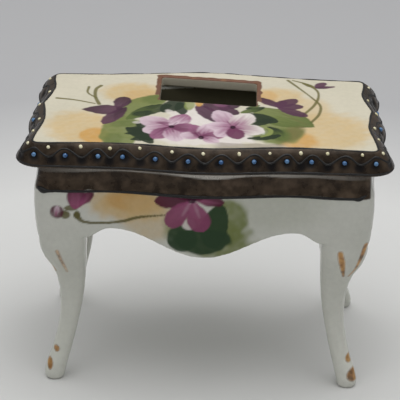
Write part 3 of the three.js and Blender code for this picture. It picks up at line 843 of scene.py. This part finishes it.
def make_rim_lines(grid, crests):
    """The black outlines of panel and rim, and the scroll line between them."""
    count = grid.shape[1]
    places = np.arange(0, count, 2)
    x, y = grid[0, places, 0] / MM, grid[0, places, 1] / MM
    parts = []
    for share, radius, spread, seed in ((0.04, 0.3, 0.1, 160), (0.985, 0.3, 0.1, 161)):
        laid = [rim_place(grid, place, share) for place in places]
        points, normals = (np.array(part) for part in zip(*laid))
        radii = radius + spread * mottle(x, y, 5, seed)
        if share < 0.5:
            back = eased((y - 24) / 2)
            radii -= back * (0.12 + 0.16 * mottle(x, y, 5, 162))
        parts += brushed(points + normals * 0.02 * MM, normals, radii * MM)
    places = np.arange(0, count, 1.5)
    after = np.searchsorted(crests, places, side="right")
    lower = np.where(after > 0, crests[after - 1], crests[-1] - count)
    upper = np.where(after < len(crests), crests[after % len(crests)], crests[0] + count)
    swing = 0.5 - 0.5 * np.cos(2 * math.pi * (places - lower) / (upper - lower))
    shares = CREST_SHARE + (TROUGH_SHARE - CREST_SHARE) * swing + 0.02 * mottle(places, places, 30, 163)
    laid = [rim_place(grid, place, share) for place, share in zip(places, shares)]
    points, normals = (np.array(part) for part in zip(*laid))
    radii = 0.33 + 0.08 * mottle(places, places, 14, 164)
    parts += brushed(points, normals, radii * MM)
    return gathered("black_scroll", parts)


def make_dots(grid, crests):
    """Cream enamel dots, one above each trough of the scroll line."""
    dice = np.random.default_rng(170)
    count = grid.shape[1]
    parts = []
    for here, following in zip(crests, np.append(crests[1:], crests[0] + count)):
        place = (here + following) / 2 + dice.uniform(-1.5, 1.5)
        point, normal = rim_place(grid, place, CREAM_SHARE + dice.uniform(-0.04, 0.04))
        radius = CREAM_RADIUS * dice.uniform(0.85, 1.12)
        parts.append(dome(point, normal, radius * MM, 0.4 * MM, dice.uniform(0.02, 0.09)))
    return gathered("cream_dots", parts)


def make_jewels(grid, jewels):
    dice = np.random.default_rng(171)
    parts = []
    for place, share in jewels:
        point, normal = rim_place(grid, place, share)
        parts.append(dome(point, normal, JEWEL_RADIUS * MM, JEWEL_HEIGHT * MM, dice.uniform(0, 0.05)))
    return gathered("blue_jewels", parts)


def hollow_rim(grid, crests):
    """Presses a shallow oval hollow into the rim under each crest; returns the hollows' middles."""
    middles = []
    pressed = grid.copy()
    along_dice = np.random.default_rng(172)
    count = grid.shape[1]
    between = (crests + np.append(crests[1:], crests[0] + count)) / 2
    for places, share, depth in ((crests, HOLLOW_SHARE, HOLLOW_DEPTH), (between, 0.84, HOLLOW_DEPTH * 0.5)):
        for place in places:
            place = place + along_dice.uniform(-2, 2)
            middle, normal = rim_place(grid, place, share)
            side = rim_place(grid, place + 2, share)[0] - rim_place(grid, place - 2, share)[0]
            side /= np.linalg.norm(side)
            down = np.cross(normal, side)
            away = (grid - middle) / MM
            gone = (away @ side / HOLLOW_ALONG) ** 2 + (away @ down / HOLLOW_ACROSS) ** 2
            press = depth * np.exp(-gone * 1.2) * (np.abs(away @ normal) < 3)
            pressed -= press[..., None] * normal * MM
            middles.append(middle)
    return pressed, middles


def make_ridge_line(box):
    """The black line along the ridge of the front and back, with a blob at each end."""
    tree = BVHTree.FromPolygons(
        [v.co for v in box.data.vertices], [tuple(p.vertices) for p in box.data.polygons])
    parts = []
    for side in (-1, 1):
        xs = np.linspace(*RIDGE_LINE_MM, 240)
        swell = 0.28 * np.cos(xs / 9) * (np.abs(xs) < 46)
        ends = eased((np.abs(xs + 0.7) - 47.5) / 3)
        zs = RIDGE_MM + swell + 1.2 * ends * (xs > 0) + 0.5 * ends * (xs < 0)
        points, normals = [], []
        for x, z in zip(xs, zs):
            hit, normal, _, _ = tree.ray_cast(Vector((x, side * 60, z)) * MM, Vector((0, -side, 0)))
            points.append(hit)
            normals.append(normal)
        points, normals = np.array(points), np.array(normals)
        blob = np.exp(-((xs + 49.4) / 1.3) ** 2) * 0.55 + np.exp(-((xs - 47.6) / 1.6) ** 2) * 0.2
        radii = 0.44 + 0.08 * mottle(xs, zs, 12, 180) + blob
        fade = eased((xs + 51.6) / 1) * eased((50.2 - xs) / 2)
        parts.append(tube(points, np.maximum(radii * fade, 0.05) * MM, normals, False))
    return gathered("ridge_line", parts)


# ---- materials ----
class Nodes:
    """Short calls for building one material's nodes."""

    def __init__(self, name):
        self.material = bpy.data.materials.new(name)
        self.material.use_nodes = True
        self.tree = self.material.node_tree
        self.shader = self.tree.nodes["Principled BSDF"]
        self.place = self.add("ShaderNodeTexCoord").outputs["Object"]

    def add(self, kind, **settings):
        node = self.tree.nodes.new(kind)
        for key, value in settings.items():
            setattr(node, key, value)
        return node

    def feed(self, socket, value):
        if isinstance(value, bpy.types.NodeSocket):
            self.tree.links.new(value, socket)
        elif isinstance(value, (int, float)):
            socket.default_value = value
        else:
            socket.default_value = (*value, 1) if len(value) == 3 else value

    def noise(self, scale, detail=4):
        noise = self.add("ShaderNodeTexNoise")
        self.feed(noise.inputs["Vector"], self.place)
        noise.inputs["Scale"].default_value = scale
        noise.inputs["Detail"].default_value = detail
        return noise.outputs["Fac"]

    def ramp(self, factor, *stops):
        ramp = self.add("ShaderNodeValToRGB")
        self.feed(ramp.inputs["Fac"], factor)
        elements = ramp.color_ramp.elements
        while len(elements) < len(stops):
            elements.new(0.5)
        for element, (place, colour) in zip(elements, stops):
            element.position = place
            element.color = (*colour, 1)
        return ramp.outputs["Color"]

    def spread(self, factor, low, high, start=0.3, end=0.7):
        spread = self.add("ShaderNodeMapRange")
        self.feed(spread.inputs["Value"], factor)
        for name, value in (("From Min", start), ("From Max", end), ("To Min", low), ("To Max", high)):
            self.feed(spread.inputs[name], value)
        return spread.outputs["Result"]

    def mix(self, factor, a, b, kind="RGBA", blend="MIX"):
        mix = self.add("ShaderNodeMix", data_type=kind)
        if kind == "RGBA":
            mix.blend_type = blend
        wanted = [s for s in mix.inputs if s.enabled]
        for socket, value in zip(wanted, (factor, a, b)):
            self.feed(socket, value)
        return next(s for s in mix.outputs if s.enabled)

    def bump(self, height, strength, distance):
        bump = self.add("ShaderNodeBump")
        self.feed(bump.inputs["Height"], height)
        bump.inputs["Strength"].default_value = strength
        bump.inputs["Distance"].default_value = distance
        self.feed(self.shader.inputs["Normal"], bump.outputs["Normal"])

    def attribute(self, name):
        attribute = self.add("ShaderNodeVertexColor", layer_name=name)
        return attribute.outputs["Color"]

    def set(self, name, value):
        self.feed(self.shader.inputs[name], value)


def painted_glaze(name):
    """Glazed porcelain with painting, brown lustre and worn gold, as kept on the mesh's points."""
    n = Nodes(name)
    split = n.add("ShaderNodeSeparateColor")
    n.feed(split.inputs["Color"], n.attribute("cover"))
    lustre, gold, hollow = split.outputs["Red"], split.outputs["Green"], split.outputs["Blue"]
    cloud = n.noise(60, 5)
    fine = n.noise(700, 3)
    tint = n.ramp(cloud, (0.3, (0.93, 0.94, 0.93)), (0.7, (1, 1, 1)))
    body = n.mix(1, n.attribute("paint"), tint, blend="MULTIPLY")
    grain = n.ramp(fine, (0.3, (0.9, 0.9, 0.9)), (0.65, (1, 1, 1)))
    body = n.mix(0.5, body, grain, blend="MULTIPLY")
    patches = n.noise(260, 6)
    tone = BRONZE_TONE[name]
    browns = ((0.32, (0.019, 0.012, 0.007)), (0.5, (0.042, 0.028, 0.017)), (0.68, (0.08, 0.055, 0.036)))
    bronze = n.ramp(patches, *((place, tone * np.array(brown)) for place, brown in browns))
    # on the box this channel lays the painted reflection along the band's top; on the lid it lays near-black
    # in the rim's hollows
    bronze = n.mix(hollow, bronze, HOLLOW_AND_SHEEN_COLOUR[name])
    worn = n.noise(420, 4)
    gilt = n.ramp(worn, (0.32, (0.12, 0.055, 0.018)), (0.48, (0.38, 0.18, 0.055)), (0.7, (0.6, 0.34, 0.11)))
    colour = n.mix(gold, n.mix(lustre, body, bronze), gilt)
    n.set("Base Color", colour)
    rough = n.mix(lustre, n.spread(cloud, 0.1, 0.2), n.spread(patches, 0.2, 0.42), "FLOAT")
    n.set("Roughness", n.mix(gold, rough, n.spread(worn, 0.28, 0.5), "FLOAT"))
    n.set("Metallic", n.mix(gold, n.mix(lustre, 0.0, 0.3, "FLOAT"), 0.6, "FLOAT"))
    n.set("Specular IOR Level", n.mix(lustre, 0.15, 0.32, "FLOAT"))
    ripple = n.mix(lustre, n.noise(90, 2), patches, "FLOAT")
    n.bump(ripple, 0.35, 0.0003)
    return n.material


def enamel(name, dark, light, roughness, patch=500):
    """Raised enamel: a glossy drop or line with slight changes of tone and surface."""
    n = Nodes(name)
    tone = n.noise(patch, 4)
    n.set("Base Color", n.ramp(tone, (0.35, dark), (0.65, light)))
    n.set("Roughness", n.spread(n.noise(patch * 2, 3), roughness * 0.7, roughness * 1.5))
    n.bump(tone, 0.25, 0.0001)
    return n.material


def backdrop_paper():
    n = Nodes("backdrop_paper")
    distance = n.add("ShaderNodeVectorMath", operation="LENGTH")
    n.feed(distance.inputs[0], n.place)
    # painted pool of light: the paper is lighter near the middle and darkens from 0.125 m to 0.215 m out
    away = n.spread(distance.outputs["Value"], 0.0, 1.0, start=0.125, end=0.215)
    near = n.ramp(n.noise(3, 3), (0.3, BACKDROP_LIT_NEAR * 0.985), (0.7, BACKDROP_LIT_NEAR))
    n.set("Base Color", n.mix(away, near, BACKDROP_DIMMED_FAR))
    n.set("Roughness", 0.9)
    n.set("Specular IOR Level", 0.1)
    return n.material


# ---- floor, light and camera ----
def make_stage():
    """A wide flat floor with no wall, so that nothing comes between the object and a camera on any side."""
    corners = [(x * FLOOR_REACH, y * FLOOR_REACH, 0) for x, y in ((-1, -1), (1, -1), (1, 1), (-1, 1))]
    floor = new_object("backdrop", corners, [(0, 1, 2, 3)])
    floor.data.materials.append(backdrop_paper())


def area_light(name, place, target, size, power, colour=(1, 1, 1)):
    lamp = bpy.data.lights.new(name, "AREA")
    lamp.shape = "RECTANGLE"
    lamp.size, lamp.size_y = size
    lamp.energy = power
    lamp.color = colour
    holder = bpy.data.objects.new(name, lamp)
    SCENE.collection.objects.link(holder)
    holder.location = place
    holder.rotation_euler = (Vector(target) - Vector(place)).to_track_quat("-Z", "Y").to_euler()
    return holder


def make_lights():
    world = bpy.data.worlds.new("studio")
    SCENE.world = world
    world.use_nodes = True
    world.node_tree.nodes["Background"].inputs["Color"].default_value = (0.97, 0.98, 1, 1)
    world.node_tree.nodes["Background"].inputs["Strength"].default_value = 0.28
    area_light("ceiling", (0, -0.05, 1.1), (0, -0.05, 0), (2.2, 1.8), 13.3)
    area_light("pool", (0.03, 0.05, 0.62), (0, 0.03, 0), (0.35, 0.3), 0.9)
    area_light("front_left", (-0.7, -0.8, 0.6), (0, 0, 0.05), (0.5, 0.6), 0.25)


def make_camera():
    camera = bpy.data.objects.new("camera", bpy.data.cameras.new("camera"))
    SCENE.collection.objects.link(camera)
    camera.data.lens = CAMERA_LENS
    camera.data.clip_start = 0.01
    flat = math.cos(CAMERA_PITCH)
    direction = Vector((flat * math.sin(CAMERA_YAW), -flat * math.cos(CAMERA_YAW), math.sin(CAMERA_PITCH)))
    camera.location = CAMERA_TARGET + CAMERA_DISTANCE * direction
    aim = (-direction).to_track_quat("-Z", "Y").to_matrix().to_4x4()
    camera.matrix_world = Matrix.Translation(camera.location) @ aim @ Matrix.Rotation(CAMERA_ROLL, 4, "Z")
    SCENE.camera = camera


make_camera()
make_stage()
make_lights()
SCENE.view_settings.view_transform = "Standard"

RIM = rim_grid()
JEWELS = jewel_places(RIM)
CRESTS = crest_places(RIM, JEWELS)
PRESSED_RIM, HOLLOWS = hollow_rim(RIM, CRESTS)


def finish(piece, material, body, slot, *nodes):
    """Gives a piece its material and the body it moves with, and hides the CAD nodes it stands for; slot is
    not used.
    """
    piece.data.materials.append(material)
    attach(piece, body)
    if nodes:
        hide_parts(*nodes)


BLACK = enamel("black_enamel", (0.0015, 0.0013, 0.0012), (0.004, 0.0035, 0.003), 0.45)
glazed_lid = make_lid(PRESSED_RIM)
paint_lid(glazed_lid, RIM, HOLLOWS)
finish(glazed_lid, painted_glaze("lid_glaze"), "lid", "painted_porcelain", "lid")
finish(make_rim_lines(RIM, CRESTS), BLACK, "lid", "black_enamel")
finish(make_dots(RIM, CRESTS), enamel("cream_enamel", paint(206, 196, 150), paint(238, 232, 200), 0.3), "lid",
       "cream_enamel")
finish(make_jewels(RIM, JEWELS), enamel("blue_enamel", paint(44, 84, 134), paint(96, 136, 176), 0.18), "lid",
       "blue_enamel", *JEWEL_NODES)

glazed_box = make_box()
paint_box(glazed_box)
finish(glazed_box, painted_glaze("box_glaze"), "box", "white_porcelain", "box_body", "leg_front_left",
       "leg_front_right", "leg_back_left", "leg_back_right")
finish(make_ridge_line(glazed_box), BLACK, "box", "black_enamel")
